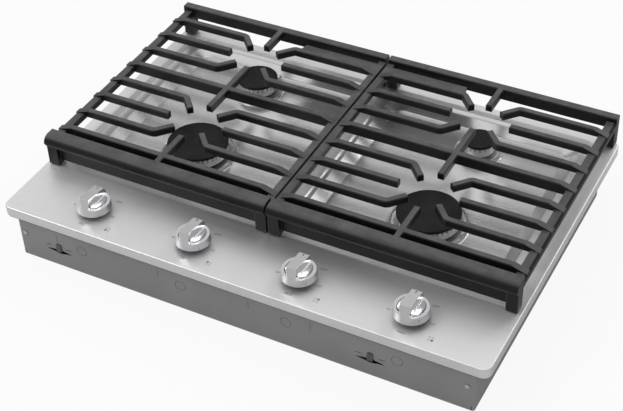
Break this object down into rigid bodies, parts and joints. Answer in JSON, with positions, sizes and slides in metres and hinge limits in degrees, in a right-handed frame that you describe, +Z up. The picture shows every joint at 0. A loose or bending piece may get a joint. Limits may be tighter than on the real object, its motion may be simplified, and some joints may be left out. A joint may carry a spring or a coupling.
{
  "type": "gas cooktop",
  "caption": "Drop-in gas cooktop with a pressed steel top, continuous cast-iron grates, round burners under matte black caps and push-and-turn knobs along the front.",
  "frame": {"origin": "middle of the burner box's underside, at the centre of the overall plan", "axes": "+Z up out of the worktop, the knobs' edge faces -Y, +X to the right of a person who cooks"},
  "size_m": [0.762, 0.524, 0.141],
  "materials": {
    "brushed_steel_top": "brushed satin",
    "seal_foam": "closed-cell foam",
    "box_paint": "satin grey coat",
    "spring_steel": "dark oiled",
    "cast_iron": "satin black enamel",
    "foot_rubber": "matte",
    "screw_zinc": "zinc plated",
    "pipe_steel": "galvanised",
    "brass": "turned",
    "switch_plastic": "matte",
    "module_plastic": "matte",
    "lead_rubber": "silicone",
    "gland_plastic": "matte",
    "base_aluminium": "die cast",
    "head_aluminium": "satin cast",
    "cap_enamel": "matte black enamel",
    "electrode_ceramic": "glazed ceramic",
    "tube_aluminium": "drawn",
    "valve_aluminium": "die cast",
    "stem_steel": "turned",
    "bezel_plastic": "matte black",
    "knob_metal": "satin chrome"
  },
  "bodies": {
    "cooktop": {"steel_top": "brushed_steel_top", "rim_seal": "seal_foam", "top_brackets": "brushed_steel_top", "box_floor": "box_paint", "box_front_wall": "box_paint", "box_rear_wall": "box_paint", "box_left_wall": "box_paint", "box_right_wall": "box_paint", "hold_down_clips": "spring_steel", "electrodes": "electrode_ceramic", "knob_bezels": "bezel_plastic", "hold_down_screws": "screw_zinc", "box_screws": "screw_zinc", "burner_screws": "screw_zinc", "floor_screws": "screw_zinc", "manifold_pipe": "pipe_steel", "gas_inlet_fitting": "brass", "ignition_switches": "switch_plastic", "spark_module": "module_plastic", "spark_leads": "lead_rubber", "cable_gland": "gland_plastic", "burner_jets": "brass", "burner_base_front_left": "base_aluminium", "gas_tube_front_left": "tube_aluminium", "burner_base_front_right": "base_aluminium", "gas_tube_front_right": "tube_aluminium", "burner_base_rear_left": "base_aluminium", "gas_tube_rear_left": "tube_aluminium", "burner_base_rear_right": "base_aluminium", "gas_tube_rear_right": "tube_aluminium", "valve_body_1": "valve_aluminium", "valve_body_2": "valve_aluminium", "valve_body_3": "valve_aluminium", "valve_body_4": "valve_aluminium"},
    "push_1": {"thrust_washer_1": "stem_steel"},
    "knob_1": {"knob_1": "knob_metal", "valve_stem_1": "stem_steel"},
    "push_2": {"thrust_washer_2": "stem_steel"},
    "knob_2": {"knob_2": "knob_metal", "valve_stem_2": "stem_steel"},
    "push_3": {"thrust_washer_3": "stem_steel"},
    "knob_3": {"knob_3": "knob_metal", "valve_stem_3": "stem_steel"},
    "push_4": {"thrust_washer_4": "stem_steel"},
    "knob_4": {"knob_4": "knob_metal", "valve_stem_4": "stem_steel"},
    "head_front_left": {"burner_head_front_left": "head_aluminium"},
    "cap_front_left": {"burner_cap_front_left": "cap_enamel"},
    "head_front_right": {"burner_head_front_right": "head_aluminium"},
    "cap_front_right": {"burner_cap_front_right": "cap_enamel"},
    "head_rear_left": {"burner_head_rear_left": "head_aluminium"},
    "cap_rear_left": {"burner_cap_rear_left": "cap_enamel"},
    "head_rear_right": {"burner_head_rear_right": "head_aluminium"},
    "cap_rear_right": {"burner_cap_rear_right": "cap_enamel"},
    "grate_left": {"left_grate": "cast_iron", "left_grate_feet": "foot_rubber"},
    "grate_right": {"right_grate": "cast_iron", "right_grate_feet": "foot_rubber"}
  },
  "joints": [
    {"name": "knob_1_push", "type": "slide", "parent": "cooktop", "child": "push_1", "axis": [0, 0, -1], "range_m": [0, 0.003], "stiffness_N_per_m": 1500, "springref_m": -0.002},
    {"name": "knob_1_turn", "type": "hinge", "parent": "push_1", "child": "knob_1", "pos_m": [-0.251, -0.2125, 0.096], "axis": [0, 0, 1], "range_deg": [0, 270]},
    {"name": "knob_2_push", "type": "slide", "parent": "cooktop", "child": "push_2", "axis": [0, 0, -1], "range_m": [0, 0.003], "stiffness_N_per_m": 1500, "springref_m": -0.002},
    {"name": "knob_2_turn", "type": "hinge", "parent": "push_2", "child": "knob_2", "pos_m": [-0.084, -0.2125, 0.096], "axis": [0, 0, 1], "range_deg": [0, 270]},
    {"name": "knob_3_push", "type": "slide", "parent": "cooktop", "child": "push_3", "axis": [0, 0, -1], "range_m": [0, 0.003], "stiffness_N_per_m": 1500, "springref_m": -0.002},
    {"name": "knob_3_turn", "type": "hinge", "parent": "push_3", "child": "knob_3", "pos_m": [0.084, -0.2125, 0.096], "axis": [0, 0, 1], "range_deg": [0, 270]},
    {"name": "knob_4_push", "type": "slide", "parent": "cooktop", "child": "push_4", "axis": [0, 0, -1], "range_m": [0, 0.003], "stiffness_N_per_m": 1500, "springref_m": -0.002},
    {"name": "knob_4_turn", "type": "hinge", "parent": "push_4", "child": "knob_4", "pos_m": [0.251, -0.2125, 0.096], "axis": [0, 0, 1], "range_deg": [0, 270]},
    {"name": "head_front_left_lift", "type": "slide", "parent": "cooktop", "child": "head_front_left", "axis": [0, 0, 1], "range_m": [0, 0.012]},
    {"name": "cap_front_left_lift", "type": "slide", "parent": "head_front_left", "child": "cap_front_left", "axis": [0, 0, 1], "range_m": [0, 0.008]},
    {"name": "head_front_right_lift", "type": "slide", "parent": "cooktop", "child": "head_front_right", "axis": [0, 0, 1], "range_m": [0, 0.012]},
    {"name": "cap_front_right_lift", "type": "slide", "parent": "head_front_right", "child": "cap_front_right", "axis": [0, 0, 1], "range_m": [0, 0.008]},
    {"name": "head_rear_left_lift", "type": "slide", "parent": "cooktop", "child": "head_rear_left", "axis": [0, 0, 1], "range_m": [0, 0.012]},
    {"name": "cap_rear_left_lift", "type": "slide", "parent": "head_rear_left", "child": "cap_rear_left", "axis": [0, 0, 1], "range_m": [0, 0.008]},
    {"name": "head_rear_right_lift", "type": "slide", "parent": "cooktop", "child": "head_rear_right", "axis": [0, 0, 1], "range_m": [0, 0.012]},
    {"name": "cap_rear_right_lift", "type": "slide", "parent": "head_rear_right", "child": "cap_rear_right", "axis": [0, 0, 1], "range_m": [0, 0.008]},
    {"name": "grate_left_lift", "type": "slide", "parent": "cooktop", "child": "grate_left", "axis": [0, 0, 1], "range_m": [0, 0.12]},
    {"name": "grate_right_lift", "type": "slide", "parent": "cooktop", "child": "grate_right", "axis": [0, 0, 1], "range_m": [0, 0.12]}
  ]
}
